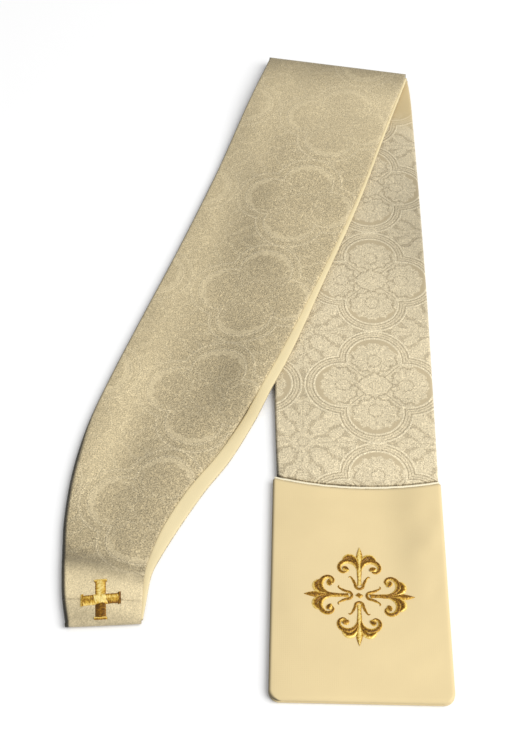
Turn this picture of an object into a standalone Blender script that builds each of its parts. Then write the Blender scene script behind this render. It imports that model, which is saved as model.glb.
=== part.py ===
"""A clerical stole of figured brocade with plain cloth ends, folded in half at the back of its neck,
laid down on a table and turned under itself once, so that its two runs lie side by side at a small angle.

Two mirror halves, A and B, meet in a seam at the neck. Half A lies on top in the left run, goes round
the top fold and is hidden under half B in the right run. +X is right, +Y is away, +Z is up, and the
origin is on the table under the middle of the whole bundle."""

import math

import bmesh
import bpy
from mathutils import Vector
from mathutils.bvhtree import BVHTree

MM = 0.001
UP = Vector((0, 0, 1))

# Cloth, in millimetres
BROCADE = 1.5  # wall of brocade with its stiffening
LINING = 1.0
GAP = 0.4  # between pieces that touch
ROLL = 2.4  # radius of the turned edge of a run
STACK = 6.0  # both halves lying on each other
CLEARANCE = 0.6  # from the right run up to the left run that crosses it

# The two runs, measured from the middle of the top fold
FOLD_MIDDLE = Vector((75, 382, 0))
LEFT_LEAN = 18.2  # degrees from straight down the table
RIGHT_LEAN = 1.3
TOP_FOLD_RADIUS = STACK + CLEARANCE / 2
NECK_FOLD_RADIUS = STACK / 2
TUCK = 20  # how far a fold's lower side runs back underneath
NOSE = ((1.4, 3.0), (0.7, 3.4))  # the hidden layers' rounded end: reach past the fold's axis, half height
LOWER_LAYER = 3.2  # top of the lower half at its edge
BAND_BED = 2.0  # top of the lower half where its lining shows
LAYER_ROUND = 0.8  # how far the lower half's edge rounds in

# A row for each section of the left run: how far down and across its outer and inner edges are,
# how far the lower half's lining shows past the inner edge, and how much the middle and the ridge
# near the inner edge stand above a flat stack.
LEFT_COLUMNS = "outer_down outer_across inner_down inner_across band middle_loft ridge_loft".split()
LEFT_ROWS = (
    (9.5, -68, -8.5, 68, 1.8, 0, 0),
    (90, -68, 80, 68.5, 1.8, 0.2, 0.2),
    (180, -66.5, 176, 69, 2.6, 0.4, 0.4),
    (280, -66.5, 280, 64, 4.6, 0.4, 0.8),
    (370, -68.4, 370, 57.5, 7.5, 0.4, 2.2),
    (440, -69.3, 440, 48.5, 8.5, 0.4, 3.2),
    (486, -68, 480, 40, 11, 0.5, 3.4),
    (530, -61.8, 515, 29.5, 12.5, 0.8, 3.4),
    (571, -51, 553, 23.2, 11.5, 1.2, 3.2),
    (600, -40, 585, 23.2, 6.5, 2.4, 3.6),
    (612.5, -35, 597, 25, 4.5, 3.6, 3.9),
    (634, -25.3, 618, 31.3, 2.6, 2.0, 2.0),
    (654.5, -13.5, 634, 36.5, 0.8, 0, 0),
)
NECK_SEAM_DOWN = 627

# A row for each section of the right run, with the drop of its middle where it meets the end panel
RIGHT_COLUMNS = "left_down left_across right_down right_across sag".split()
RIGHT_ROWS = (
    (-10.4, -66, 11.8, 68, 0),
    (15.4, -64.5, 37.4, 70, 0),
    (70, -62, 80, 71, 0),
    (190, -58.5, 190, 72.3, 0),
    (300, -58, 300, 72.9, 0),
    (403, -57, 403, 72.5, 0),
    (492.5, -53.5, 494.5, 71.8, 7.5),
)

# End panel, and what is on it
PANEL_LEFT, PANEL_RIGHT = -56.6, 73.6
PANEL_BOTTOM = 675
PANEL_CORNER = 8
PANEL_HEIGHT = 6.6
PANEL_ROLL = 2.8
PIPING_RADIUS = 0.9
CROSS_ACROSS, CROSS_DOWN = 7.8, 592.3
ARM_ROWS = (  # an arm of the large cross: how far out, and how wide to each side
    (4.2, 1.2), (6, 3.2), (9, 3.6), (12, 2.2), (15.5, 2), (16.2, 6), (18, 10), (20.5, 11.4), (23, 10.6),
    (24.5, 9), (26, 11), (28, 11.4), (30.5, 9), (31.5, 3.4), (36, 2.4), (41, 0.3),
)
CROSS_TURN = -1.0  # degrees, seen from above
EMBROIDERY = 0.9  # height of the raised stitching
NECK_CROSS_MIDDLE = (627.6, 2.9)  # down and across in the left run
NECK_CROSS_LENGTH, NECK_CROSS_WIDTH = 32.0, 30.0
NECK_CROSS_ARM = 8.4
NECK_CROSS_TURN = 22.0  # degrees from the left run's own direction


def clear_scene():
    for old in list(bpy.data.objects):
        bpy.data.objects.remove(old)


def material(name, colour, roughness=0.7, metallic=0.0):
    made = bpy.data.materials.new(name)
    made.use_nodes = True
    shader = made.node_tree.nodes["Principled BSDF"]
    shader.inputs["Base Color"].default_value = (*colour, 1)
    shader.inputs["Roughness"].default_value = roughness
    shader.inputs["Metallic"].default_value = metallic
    return made


def on_table(down, across, lean):
    """The point that far down and across a run which leans by that many degrees."""
    angle = math.radians(lean)
    along = Vector((-math.sin(angle), -math.cos(angle), 0))
    sideways = Vector((math.cos(angle), -math.sin(angle), 0))
    return FOLD_MIDDLE + along * down + sideways * across


def smooth_through(places, values, place):
    """A smooth curve through the values at those places, read at one place."""
    last = len(places) - 1
    i = 0
    while i < last - 1 and place > places[i + 1]:
        i += 1

    def slope(k):
        low, high = max(k - 1, 0), min(k + 1, last)
        return (values[high] - values[low]) / (places[high] - places[low])

    span = places[i + 1] - places[i]
    t = (place - places[i]) / span
    start, end = values[i], values[i + 1]
    return (
        (2 * t**3 - 3 * t**2 + 1) * start
        + (t**3 - 2 * t**2 + t) * span * slope(i)
        + (3 * t**2 - 2 * t**3) * end
        + (t**3 - t**2) * span * slope(i + 1)
    )


def read_row(rows, columns, down):
    """One section, read from a table at a distance down the run."""
    places = [(row[0] + row[2]) / 2 for row in rows]
    read = (smooth_through(places, values, down) for values in zip(*rows))
    return dict(zip(columns, read))


def smoothstep(x):
    x = min(max(x, 0.0), 1.0)
    return x * x * (3 - 2 * x)


# The right run's left edge, and what the left run has to climb over


def past_right_run_edge(point):
    """How far a point on the table is to the right of the right run's left edge."""
    top, bottom = on_table(15.4, -64.5, RIGHT_LEAN), on_table(492.5, -53.5, RIGHT_LEAN)
    share = (point.y - top.y) / (bottom.y - top.y)
    return point.x - (top.x + (bottom.x - top.x) * share)


RAMP_FOOT, RAMP_TOP = -16.0, -3.5  # from the right run's edge
SLOPE_FOOT, SLOPE_TOP = -54.0, -12.0  # the same climb, softened, in the upper cloth


def underside(point):
    climb = (past_right_run_edge(point) - RAMP_FOOT) / (RAMP_TOP - RAMP_FOOT)
    return (STACK + CLEARANCE) * min(max(climb, 0.0), 1.0)


def soft_climb(point):
    climb = (past_right_run_edge(point) - SLOPE_FOOT) / (SLOPE_TOP - SLOPE_FOOT)
    return (STACK + CLEARANCE) * smoothstep(climb)


class Section:
    """A straight line across a run, with the height of the cloth's top along it."""

    def __init__(self, start, end, loft=(0, 0), climbs=False, sag=0.0, band=None):
        self.start, self.end = start, end
        self.width = (end - start).length
        self.across = (end - start).normalized()
        self.onward = Vector((self.across.y, -self.across.x, 0))
        self.loft, self.climbs, self.sag, self.band = loft, climbs, sag, band

    def moved(self, vector):
        start, end = self.start + vector, self.end + vector
        return Section(start, end, self.loft, self.climbs, self.sag, self.band)

    def foot(self, offset):
        """The point on the table under the section, that far from its start."""
        share = min(max(offset / self.width, 0.0), 1.0)
        drop = self.sag * 4 * share * (1 - share)
        return self.start + self.across * offset + self.onward * drop

    def top(self, offset):
        point = self.foot(offset)
        share = offset / self.width
        rise = smooth_through((0, 0.4, 0.75, 1), (0, *self.loft, 0), share)
        return STACK + rise + (soft_climb(point) if self.climbs else 0)

    def base(self, offset):
        return underside(self.foot(offset)) if self.climbs else 0.0

    def profile(self, roll=ROLL, inset=0.0):
        """(offset, height) pairs over the top, from turned edge to turned edge."""
        radius = roll - inset
        turns = [math.radians(a) for a in (0, 30, 60)]
        left = [(roll - radius * math.cos(a), radius * math.sin(a) - roll) for a in turns]
        flat = [roll + (self.width - 2 * roll) * k / 6 for k in range(7)]
        pairs = [(x, self.top(roll) + h) for x, h in left]
        pairs += [(x, self.top(x) - inset) for x in flat]
        pairs += [(self.width - x, self.top(self.width - roll) + h) for x, h in reversed(left)]
        return pairs


def left_section(down):
    row = read_row(LEFT_ROWS, LEFT_COLUMNS, down)
    start = on_table(row["outer_down"], row["outer_across"], LEFT_LEAN)
    end = on_table(row["inner_down"], row["inner_across"], LEFT_LEAN)
    return Section(start, end, (row["middle_loft"], row["ridge_loft"]), climbs=True, band=row["band"])


def right_section(down):
    row = read_row(RIGHT_ROWS, RIGHT_COLUMNS, down)
    start = on_table(row["left_down"], row["left_across"], RIGHT_LEAN)
    end = on_table(row["right_down"], row["right_across"], RIGHT_LEAN)
    return Section(start, end, sag=row["sag"])


# Making meshes


def finish(name, bm, cloth, closed=True):
    bmesh.ops.scale(bm, vec=(MM, MM, MM), verts=bm.verts)
    if closed:
        bmesh.ops.recalc_face_normals(bm, faces=bm.faces)
        if bm.calc_volume(signed=True) < 0:
            bmesh.ops.reverse_faces(bm, faces=bm.faces)
    mesh = bpy.data.meshes.new(name)
    bm.to_mesh(mesh)
    bm.free()
    mesh.materials.append(cloth)
    mesh.shade_smooth()
    mesh.set_sharp_from_angle(angle=math.radians(40))
    made = bpy.data.objects.new(name, mesh)
    bpy.context.collection.objects.link(made)
    return made


def grid_through(rows):
    """A sheet of faces through rows of points."""
    bm = bmesh.new()
    across, down = len(rows[0]), len(rows)
    bmesh.ops.create_grid(bm, x_segments=across - 1, y_segments=down - 1, size=1)
    bm.verts.ensure_lookup_table()
    for i, vert in enumerate(bm.verts):
        vert.co = rows[i // across][i % across]
    return bm


def cloth_wall(name, rows, cloth, thickness=BROCADE):
    """A wall of cloth whose outer face goes through the rows of points."""
    bm = grid_through(rows)
    bmesh.ops.reverse_faces(bm, faces=bm.faces)
    made = finish(name, bm, cloth, closed=False)
    wall = made.modifiers.new("Wall", "SOLIDIFY")
    wall.thickness = thickness * MM
    wall.offset = -1
    wall.use_even_offset = True
    return made


def loft(name, rings, cloth):
    """A closed solid through rings of points, with flat ends."""
    bm = grid_through([[*ring, ring[0]] for ring in rings])
    bmesh.ops.remove_doubles(bm, verts=bm.verts, dist=1e-5)
    bmesh.ops.holes_fill(bm, edges=bm.edges, sides=0)
    bmesh.ops.triangulate(bm, faces=[f for f in bm.faces if len(f.verts) > 4])
    return finish(name, bm, cloth)


def raise_plate(name, bm, lay_on, height, cloth):
    for vert in bm.verts:
        vert.co.z = lay_on(vert.co)
    top = bmesh.ops.extrude_face_region(bm, geom=bm.faces[:])["geom"]
    raised = [v for v in top if isinstance(v, bmesh.types.BMVert)]
    bmesh.ops.translate(bm, vec=UP * height, verts=raised)
    return finish(name, bm, cloth)


# Rows of points for walls that go round a fold


def flat_rows(sections):
    return [[s.foot(x) + UP * h for x, h in s.profile()] for s in sections]


def fold_rows(section, radius, outward):
    """Rows from the top of a fold round to its underside, and back under it. The turned edges of
    the run open out as they come into the fold."""
    rows = []
    axis = UP * radius
    for step in range(1, 9):
        angle = math.pi * step / 8
        normal = UP * math.cos(angle) + outward * math.sin(angle)
        opened = smoothstep(step / 3)
        row = []
        for x, h in section.profile():
            flat = section.top(min(max(x, ROLL), section.width - ROLL))
            settled = flat + (2 * radius - flat) * step / 8
            reach = h + (settled - h) * opened - radius
            row.append(section.foot(x) + axis + normal * reach)
        for point in row:
            point.z = max(point.z, 0.0)
        rows.append(row)
    tucked = [point - outward * TUCK for point in rows[-1]]
    return [*rows, tucked]


# Hidden layers


def layer_ring(section, lift=0.0, ceiling=math.inf):
    """The outline of the hidden layers in one section: inset under the upper half's turned edge,
    full width below it, and wider again where the lower half's lining shows."""
    inset = BROCADE + GAP
    wide = section.width + (section.band or 0.0)
    shelf = section.base(wide) + (LOWER_LAYER if section.band is None else BAND_BED)
    base = section.base(wide) + lift
    inner_side = [
        (section.width - inset, shelf),
        (wide - 0.4, shelf),
        (wide, (shelf * 2 + base) / 3),
        (wide, (shelf + base * 2) / 3),
        (wide - LAYER_ROUND, base),
    ]
    ramp = [(x, section.base(x) + lift) for x in climb_offsets(section, wide)]
    shelf = section.base(0) + LOWER_LAYER
    base = section.base(0) + lift
    outer_side = [
        (LAYER_ROUND, base),
        (0, (shelf + base * 2) / 3),
        (0, (shelf * 2 + base) / 3),
        (0.4, shelf),
        (inset, shelf),
    ]
    ring = (*section.profile(inset=inset), *inner_side, *ramp, *outer_side)
    return [section.foot(x) + UP * min(h, ceiling) for x, h in ring]


def climb_offsets(section, wide):
    """Where the underside starts and stops climbing on to the right run, from the inner side."""
    first, last = 2 * LAYER_ROUND, wide - 2 * LAYER_ROUND
    if not section.climbs:
        return [last, first]
    start = past_right_run_edge(section.foot(0))
    rate = (past_right_run_edge(section.foot(section.width)) - start) / section.width
    top, foot = (min(max((place - start) / rate, first), last) for place in (RAMP_TOP, RAMP_FOOT))
    return [top + 0.1, foot]


# The pieces

clear_scene()
BROCADE_CLOTH = material("champagne brocade", (0.68, 0.58, 0.39), 0.55)
PLAIN_CLOTH = material("cream plain cloth", (0.85, 0.72, 0.45), 0.8)
LINING_CLOTH = material("cream lining", (0.83, 0.70, 0.42), 0.8)
PIPING_CLOTH = material("ivory piping", (0.9, 0.82, 0.6), 0.5)
GOLD_THREAD = material("gold embroidery thread", (0.72, 0.45, 0.08), 0.35, 0.6)

LEFT_TOP = LEFT_ROWS[0][0] / 2 + LEFT_ROWS[0][2] / 2 + TOP_FOLD_RADIUS
LEFT_END = LEFT_ROWS[-1][0] / 2 + LEFT_ROWS[-1][2] / 2 - NECK_FOLD_RADIUS
LEFT_DOWNS = (LEFT_TOP, 30, 60, 100, 150, 200, 240, 280, 320, 360, 390, 405, 420, 440, 470)
NECK_DOWNS = (500, 530, 560, 585, 603, 615)
UPWARD = -left_section(LEFT_TOP).onward
ROUND_NECK = left_section(LEFT_END).onward


def half_a_brocade():
    downs = (*LEFT_DOWNS, *NECK_DOWNS, NECK_SEAM_DOWN - GAP / 2)
    run = flat_rows(left_section(down) for down in downs)
    fold = fold_rows(left_section(LEFT_TOP), TOP_FOLD_RADIUS, UPWARD)
    return cloth_wall("half_a_brocade", [*reversed(fold), *run], BROCADE_CLOTH)


def half_b_neck():
    downs = (NECK_SEAM_DOWN + GAP / 2, 632, LEFT_END)
    run = flat_rows(left_section(down) for down in downs)
    fold = fold_rows(left_section(LEFT_END), NECK_FOLD_RADIUS, ROUND_NECK)
    return cloth_wall("half_b_neck", [*run, *fold], BROCADE_CLOTH)


def half_b_lining():
    rows = []
    for down in (*LEFT_DOWNS, *NECK_DOWNS, NECK_SEAM_DOWN, 634):
        section = left_section(down)
        wide = section.width + section.band
        top = section.base(wide) + BAND_BED + GAP + LINING
        offsets = (section.width + GAP, section.width + section.band / 2, wide - LAYER_ROUND, wide)
        drops = (0, 0, 0.1, 0.4)
        rows.append([section.foot(x) + UP * (top - drop) for x, drop in zip(offsets, drops)])
    return cloth_wall("half_b_lining", rows, LINING_CLOTH, LINING)


def left_run_layers():
    rings = []
    top = left_section(LEFT_TOP)
    for reach, half_height in NOSE:
        nose = top.moved(UPWARD * reach)
        rings.append(layer_ring(nose, ceiling=TOP_FOLD_RADIUS + half_height))
    tuck_start = LEFT_END - TUCK
    downs = (*LEFT_DOWNS, *NECK_DOWNS[:-1], tuck_start - 3)
    rings += [layer_ring(left_section(down)) for down in downs]
    lifted = (tuck_start - 2.5, tuck_start + TUCK / 2, LEFT_END)
    rings += [layer_ring(left_section(down), lift=BROCADE + GAP) for down in lifted]
    return loft("left_run_layers", rings, BROCADE_CLOTH)


RIGHT_TOP = RIGHT_ROWS[0][0] / 2 + RIGHT_ROWS[0][2] / 2 + TOP_FOLD_RADIUS
RIGHT_END = RIGHT_ROWS[-1][0] / 2 + RIGHT_ROWS[-1][2] / 2
RIGHT_DOWNS = (40, 80, 140, 200, 260, 320, 380, 430, 465)


def half_b_leg():
    downs = (RIGHT_TOP, *RIGHT_DOWNS, RIGHT_END - 4 * PIPING_RADIUS)
    nose = right_section(RIGHT_TOP).moved(UPWARD * NOSE[0][0])
    rows = flat_rows((nose, *map(right_section, downs)))
    return cloth_wall("half_b_leg", rows, BROCADE_CLOTH)


def right_run_layers():
    rings = []
    top = right_section(RIGHT_TOP)
    for reach, half_height in NOSE:
        lift = TOP_FOLD_RADIUS - half_height - GAP
        rings.append(layer_ring(top.moved(UPWARD * reach), lift=lift))
    past_tuck = RIGHT_TOP + TUCK + 1
    rings += [layer_ring(right_section(down), lift=BROCADE + GAP) for down in (RIGHT_TOP, past_tuck)]
    downs = (past_tuck + 0.5, *RIGHT_DOWNS, RIGHT_END - GAP)
    rings += [layer_ring(right_section(down)) for down in downs]
    return loft("right_run_layers", rings, BROCADE_CLOTH)


# The end panel


def panel_top_edge(across):
    """How far down the panel's upper edge lies, at a distance across the run."""
    share = (across - PANEL_LEFT) / (PANEL_RIGHT - PANEL_LEFT)
    left, right, sag = RIGHT_ROWS[-1][0], RIGHT_ROWS[-1][2], RIGHT_ROWS[-1][4]
    return left + (right - left) * share + sag * 4 * share * (1 - share)


def panel_half_width(up_from_bottom):
    half = (PANEL_RIGHT - PANEL_LEFT) / 2
    short = max(PANEL_CORNER - up_from_bottom, 0.0)
    return half - PANEL_CORNER + math.sqrt(PANEL_CORNER**2 - short**2)


def turned_edge(distance):
    """How far the panel's top has dropped, at a distance in from its edge."""
    short = max(PANEL_ROLL - distance, 0.0)
    return PANEL_ROLL - math.sqrt(PANEL_ROLL**2 - short**2)


EDGE_STEPS = [PANEL_ROLL * (1 - math.cos(math.radians(a))) for a in (0, 30, 60, 90)]
PANEL_MIDDLE = (PANEL_LEFT + PANEL_RIGHT) / 2


def half_b_end_panel():
    rows = []
    ups = [150, 120, 90, 60, 30, PANEL_CORNER, *reversed(EDGE_STEPS)]
    for number, up in enumerate([None, *ups]):
        half = panel_half_width(PANEL_CORNER if up is None else up)
        flat = [half * x for x in (-0.66, -0.33, 0, 0.33, 0.66)]
        offsets = [e - half for e in EDGE_STEPS] + flat + [half - e for e in reversed(EDGE_STEPS)]
        row = []
        for offset in offsets:
            across = PANEL_MIDDLE + offset
            down = panel_top_edge(across) if up is None else PANEL_BOTTOM - up
            drop = max(turned_edge(half - abs(offset)), turned_edge(PANEL_ROLL if up is None else up))
            row.append(on_table(down, across, RIGHT_LEAN) + UP * (PANEL_HEIGHT - drop))
        rows.append(row)
    return cloth_wall("half_b_end_panel", rows, PLAIN_CLOTH)


def panel_outline(inset):
    """The panel's outline on the table, that far in from its edge, from its upper left corner."""
    corner_turns = [math.radians(a) for a in (0, 30, 60, 90)]
    radius = PANEL_CORNER - inset
    left, right = PANEL_LEFT + PANEL_CORNER, PANEL_RIGHT - PANEL_CORNER
    floor = PANEL_BOTTOM - PANEL_CORNER
    places = [(left - radius * math.cos(a), floor + radius * math.sin(a)) for a in corner_turns]
    places += [(right + radius * math.sin(a), floor + radius * math.cos(a)) for a in corner_turns]
    steps = [PANEL_RIGHT - inset + (PANEL_LEFT - PANEL_RIGHT + 2 * inset) * k / 8 for k in range(9)]
    places += [(across, panel_top_edge(across)) for across in steps]
    return [on_table(down, across, RIGHT_LEAN) for across, down in places]


def panel_layers():
    inset = BROCADE + 0.7
    levels = ((0, 0.9), (0.9, 0), (2.5, 0), (3.2, 0.5), (3.2, inset), (4.6, inset))
    rings = [[point + UP * height for point in panel_outline(edge)] for height, edge in levels]
    return loft("panel_layers", rings, PLAIN_CLOTH)


def panel_piping():
    rings = []
    for step in range(17):
        across = PANEL_LEFT + 1.2 + (PANEL_RIGHT - PANEL_LEFT - 2.4) * step / 16
        distance = min(across - PANEL_LEFT, PANEL_RIGHT - across)
        height = PANEL_HEIGHT - 0.5 - turned_edge(distance)
        middle = on_table(panel_top_edge(across) - 1.3, across, RIGHT_LEAN) + UP * height
        onward = on_table(1, 0, RIGHT_LEAN) - on_table(0, 0, RIGHT_LEAN)
        turns = [2 * math.pi * k / 8 for k in range(8)]
        rings.append([middle + (onward * math.cos(a) + UP * math.sin(a)) * PIPING_RADIUS for a in turns])
    return loft("panel_piping", rings, PIPING_CLOTH)


# Embroidery


def on_panel(across, out, turn):
    """A point of the large cross, turned about its centre."""
    angle = math.radians(turn)
    x = across * math.cos(angle) + out * math.sin(angle)
    y = -across * math.sin(angle) + out * math.cos(angle)
    return on_table(CROSS_DOWN - y, CROSS_ACROSS + x, RIGHT_LEAN)


def large_cross():
    def lie(point):
        return PANEL_HEIGHT + GAP

    for name, quarter in (("top", 0), ("right", 90), ("bottom", 180), ("left", 270)):
        turn = quarter - CROSS_TURN
        rows = [[on_panel(half * side, out, turn) for side in (-1, 0, 1)] for out, half in ARM_ROWS]
        raise_plate("large_cross_" + name, grid_through(rows), lie, EMBROIDERY, GOLD_THREAD)
    corners = (((-3, 0), (0, 3)), ((0, -3), (3, 0)))
    diamond = [[on_panel(x, y, -CROSS_TURN) for x, y in pair] for pair in corners]
    raise_plate("large_cross_centre", grid_through(diamond), lie, EMBROIDERY, GOLD_THREAD)


def neck_cross(seam_pieces):
    """A small cross over the neck seam, dropped on to the cloth below it."""
    surfaces = []
    for piece in seam_pieces:
        bm = bmesh.new()
        bm.from_mesh(piece.data)
        surfaces.append(BVHTree.FromBMesh(bm))
        bm.free()

    def lie(point):
        above = Vector((point.x, point.y, 50)) * MM
        hits = [surface.ray_cast(above, -UP)[0] for surface in surfaces]
        return max(hit.z for hit in hits if hit is not None) / MM + GAP

    stops = [-1, -0.65, NECK_CROSS_ARM / NECK_CROSS_LENGTH * -1]
    stops = [*stops, *(-x for x in reversed(stops))]
    bm = bmesh.new()
    bmesh.ops.create_grid(bm, x_segments=len(stops) - 1, y_segments=len(stops) - 1, size=1)
    bm.verts.ensure_lookup_table()
    lean = LEFT_LEAN - NECK_CROSS_TURN
    middle = on_table(*NECK_CROSS_MIDDLE, LEFT_LEAN)
    right = on_table(0, 1, lean) - FOLD_MIDDLE
    down = on_table(1, 0, lean) - FOLD_MIDDLE
    for i, vert in enumerate(bm.verts):
        x, y = stops[i % len(stops)], stops[i // len(stops)]
        vert.co = middle + right * x * NECK_CROSS_WIDTH / 2 - down * y * NECK_CROSS_LENGTH / 2
    inner = NECK_CROSS_ARM / 2 + 0.01

    def outside(face):
        offset = face.calc_center_median() - middle
        return abs(offset.dot(right)) > inner and abs(offset.dot(down)) > inner

    bmesh.ops.delete(bm, geom=[f for f in bm.faces if outside(f)], context="FACES")
    return raise_plate("neck_cross", bm, lie, EMBROIDERY, GOLD_THREAD)


def stand_on_origin():
    """Moves everything so that the origin is under the middle of its box."""
    bpy.context.view_layer.update()
    corners = [o.matrix_world @ Vector(c) for o in bpy.data.objects for c in o.bound_box]
    low = Vector(min(c[i] for c in corners) for i in range(3))
    high = Vector(max(c[i] for c in corners) for i in range(3))
    shift = Vector(((low.x + high.x) / 2, (low.y + high.y) / 2, low.z))
    for piece in bpy.data.objects:
        piece.location = -shift


def build():
    upper = half_a_brocade()
    neck = half_b_neck()
    half_b_lining()
    left_run_layers()
    half_b_leg()
    right_run_layers()
    half_b_end_panel()
    panel_layers()
    panel_piping()
    large_cross()
    neck_cross((upper, neck))
    stand_on_origin()


build()
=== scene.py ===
import math
from functools import partial

import bmesh
import bpy
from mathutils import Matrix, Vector, noise
from mathutils.bvhtree import BVHTree


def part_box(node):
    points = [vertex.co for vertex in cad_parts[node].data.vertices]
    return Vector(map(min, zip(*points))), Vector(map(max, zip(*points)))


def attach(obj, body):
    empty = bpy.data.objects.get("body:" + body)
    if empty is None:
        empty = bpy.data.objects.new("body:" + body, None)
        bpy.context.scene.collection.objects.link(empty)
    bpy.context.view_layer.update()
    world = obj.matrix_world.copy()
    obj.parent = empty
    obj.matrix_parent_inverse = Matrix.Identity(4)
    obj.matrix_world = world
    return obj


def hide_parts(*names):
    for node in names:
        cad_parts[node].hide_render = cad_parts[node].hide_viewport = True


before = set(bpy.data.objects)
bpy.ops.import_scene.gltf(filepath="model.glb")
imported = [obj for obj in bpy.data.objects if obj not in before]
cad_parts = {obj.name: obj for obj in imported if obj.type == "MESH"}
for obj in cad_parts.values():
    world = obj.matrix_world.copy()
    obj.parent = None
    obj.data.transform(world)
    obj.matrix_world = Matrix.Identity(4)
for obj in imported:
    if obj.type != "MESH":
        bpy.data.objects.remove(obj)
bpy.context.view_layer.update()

MM = 0.001
UP = Vector((0, 0, 1))

# Cloth, in millimetres
BROCADE = 1.2
LINING = 0.9
BROCADE_WALL = 1.5  # what the brocade takes with its stiffening
GAP = 0.4
ROLL = 2.4
STACK = 6.0
CLEARANCE = 0.6
LEFT_LEAN, RIGHT_LEAN = 18.2, 1.3
TOP_FOLD_RADIUS = STACK + CLEARANCE / 2
NECK_FOLD_RADIUS = STACK / 2
TUCK = 20
LOWER_LAYER = 3.2
BAND_BED = 2.0

# A row for each section of the left run: how far down and across its outer and inner edges are, how
# far the lower half's lining shows past the inner edge, and how much the middle and the ridge near
# the inner edge stand above a flat stack
LEFT_COLUMNS = "outer_down outer_across inner_down inner_across band middle_loft ridge_loft".split()
LEFT_ROWS = (
    (9.5, -68, -8.5, 68, 1.8, 0, 0),
    (90, -68, 80, 68.5, 1.8, 0.2, 0.2),
    (180, -66.5, 176, 69, 2.6, 0.4, 0.4),
    (280, -66.5, 280, 64, 4.6, 0.4, 0.8),
    (370, -68.4, 370, 57.5, 7.5, 0.4, 2.2),
    (440, -69.3, 440, 48.5, 8.5, 0.4, 3.2),
    (486, -68, 480, 40, 11, 0.5, 3.4),
    (530, -61.8, 515, 29.5, 12.5, 0.8, 3.4),
    (571, -51, 553, 23.2, 11.5, 1.2, 3.2),
    (600, -40, 585, 23.2, 6.5, 2.4, 3.6),
    (612.5, -35, 597, 25, 4.5, 3.6, 3.9),
    (634, -25.3, 618, 31.3, 2.6, 2.0, 2.0),
    (654.5, -13.5, 634, 36.5, 0.8, 0, 0),
)
NECK_SEAM_DOWN = 627
# A row for each section of the right run, with the drop of its middle where it meets the end panel
RIGHT_COLUMNS = "left_down left_across right_down right_across sag".split()
RIGHT_ROWS = (
    (-10.4, -66, 11.8, 68, 0),
    (15.4, -64.5, 37.4, 70, 0),
    (70, -62, 80, 71, 0),
    (190, -58.5, 190, 72.3, 0),
    (300, -58, 300, 72.9, 0),
    (403, -57, 403, 72.5, 0),
    (492.5, -53.5, 494.5, 71.8, 7.5),
)
PANEL_LEFT, PANEL_RIGHT, PANEL_BOTTOM = -56.6, 73.6, 675
PANEL_CORNER, PANEL_HEIGHT, PANEL_ROLL = 8, 6.6, 2.8
CROSS_ACROSS, CROSS_DOWN, CROSS_TURN = 8.3, 593.3, -1.0
CROSS_DRAWN_IN = 0.97  # how much the stitching shrinks the cross
NECK_CROSS_MIDDLE = (627.6, 2.9)
NECK_CROSS_TURN = 22.0


def frame_of(lean):
    angle = math.radians(lean)
    along = Vector((-math.sin(angle), -math.cos(angle), 0))
    return along, Vector((math.cos(angle), -math.sin(angle), 0))


# The middle of the top fold, found from the end panel's box: its lower left corner is known both ways
PANEL_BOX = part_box("half_b_end_panel")
ALONG, SIDEWAYS = frame_of(RIGHT_LEAN)
panel_corner_x = min((ALONG * down + SIDEWAYS * PANEL_LEFT).x for down in (500, PANEL_BOTTOM - PANEL_CORNER))
panel_corner_y = (ALONG * PANEL_BOTTOM + SIDEWAYS * (PANEL_RIGHT - PANEL_CORNER)).y
FOLD_MIDDLE = Vector((PANEL_BOX[0][0] / MM - panel_corner_x, PANEL_BOX[0][1] / MM - panel_corner_y, 0))


def on_table(down, across, lean):
    along, sideways = frame_of(lean)
    return FOLD_MIDDLE + along * down + sideways * across


def read_place(point, lean):
    """How far down and across a run a point lies."""
    along, sideways = frame_of(lean)
    offset = point - FOLD_MIDDLE
    return offset.dot(along), offset.dot(sideways)


def smooth_through(places, values, place):
    """A smooth curve through the values, read at a place between them."""
    last = len(places) - 1
    i = 0
    while i < last - 1 and place > places[i + 1]:
        i += 1

    def slope(k):
        low, high = max(k - 1, 0), min(k + 1, last)
        return (values[high] - values[low]) / (places[high] - places[low])

    span = places[i + 1] - places[i]
    t = (place - places[i]) / span
    start, end = values[i], values[i + 1]
    return (
        (2 * t**3 - 3 * t**2 + 1) * start
        + (t**3 - 2 * t**2 + t) * span * slope(i)
        + (3 * t**2 - 2 * t**3) * end
        + (t**3 - t**2) * span * slope(i + 1)
    )


def read_row(rows, columns, down):
    places = [(row[0] + row[2]) / 2 for row in rows]
    read = (smooth_through(places, values, down) for values in zip(*rows))
    return dict(zip(columns, read))


def smoothstep(x):
    x = min(max(x, 0.0), 1.0)
    return x * x * (3 - 2 * x)


def past_right_run_edge(point):
    """How far to the right of the right run's left edge a point lies."""
    top, bottom = (on_table(*row[:2], RIGHT_LEAN) for row in (RIGHT_ROWS[1], RIGHT_ROWS[-1]))
    share = (point.y - top.y) / (bottom.y - top.y)
    return point.x - (top.x + (bottom.x - top.x) * share)


# Where the left run climbs on to the right one: its underside, and the softer climb of its top
RAMP_FOOT, RAMP_TOP = -16.0, -3.5
SLOPE_FOOT, SLOPE_TOP = -54.0, -12.0


def underside(point):
    climb = (past_right_run_edge(point) - RAMP_FOOT) / (RAMP_TOP - RAMP_FOOT)
    return (STACK + CLEARANCE) * min(max(climb, 0.0), 1.0)


def soft_climb(point):
    climb = (past_right_run_edge(point) - SLOPE_FOOT) / (SLOPE_TOP - SLOPE_FOOT)
    return (STACK + CLEARANCE) * smoothstep(climb)


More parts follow.
